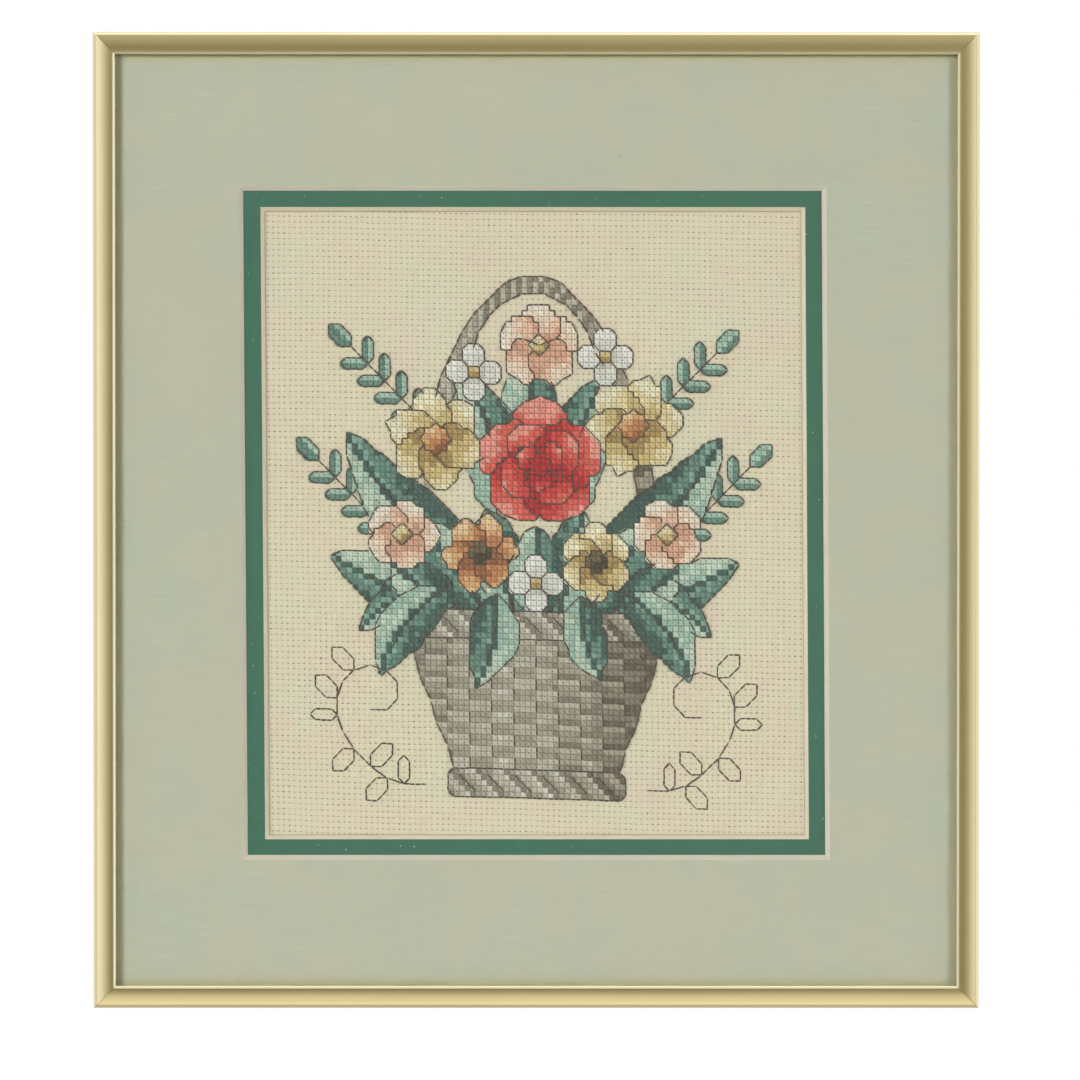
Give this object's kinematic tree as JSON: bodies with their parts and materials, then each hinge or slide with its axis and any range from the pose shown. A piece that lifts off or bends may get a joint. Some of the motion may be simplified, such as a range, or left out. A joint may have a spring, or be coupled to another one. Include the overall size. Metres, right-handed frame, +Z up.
{
  "type": "cross-stitch picture in mitred metal frame",
  "caption": "Upright cross-stitch flower picture on evenweave cloth behind two bevelled mats and glass, in a narrow gold metal frame with mitred corners; hangs on a wall.",
  "frame": {"origin": "on the rear face of the top rail's outer lip, midway along the rail, where a wall holds the picture", "axes": "+X to the right of someone looking at the picture, +Y from the face back towards the wall, +Z up"},
  "size_m": [0.286, 0.019, 0.315],
  "materials": {
    "gold_metal": "satin gold anodised, fine brushed along each rail",
    "plate_steel": "zinc plated",
    "pane": "clear polished",
    "sage_mat": "matt paper with a fine laid grain",
    "teal_mat": "matt paper",
    "evenweave": "cotton evenweave, 14 squares to the inch",
    "floss": "stranded cotton with a soft sheen, in several colours",
    "grey_board": "plain kraft-faced board"
  },
  "bodies": {
    "root": {"rail_top": "gold_metal", "rail_bottom": "gold_metal", "rail_left": "gold_metal", "rail_right": "gold_metal", "corner_plate_top_left": "plate_steel", "corner_plate_top_right": "plate_steel", "corner_plate_bottom_left": "plate_steel", "corner_plate_bottom_right": "plate_steel", "glass": "pane", "outer_mat": "sage_mat", "inner_mat": "teal_mat", "cloth": "evenweave", "mounting_board": "grey_board"}
  },
  "joints": []
}
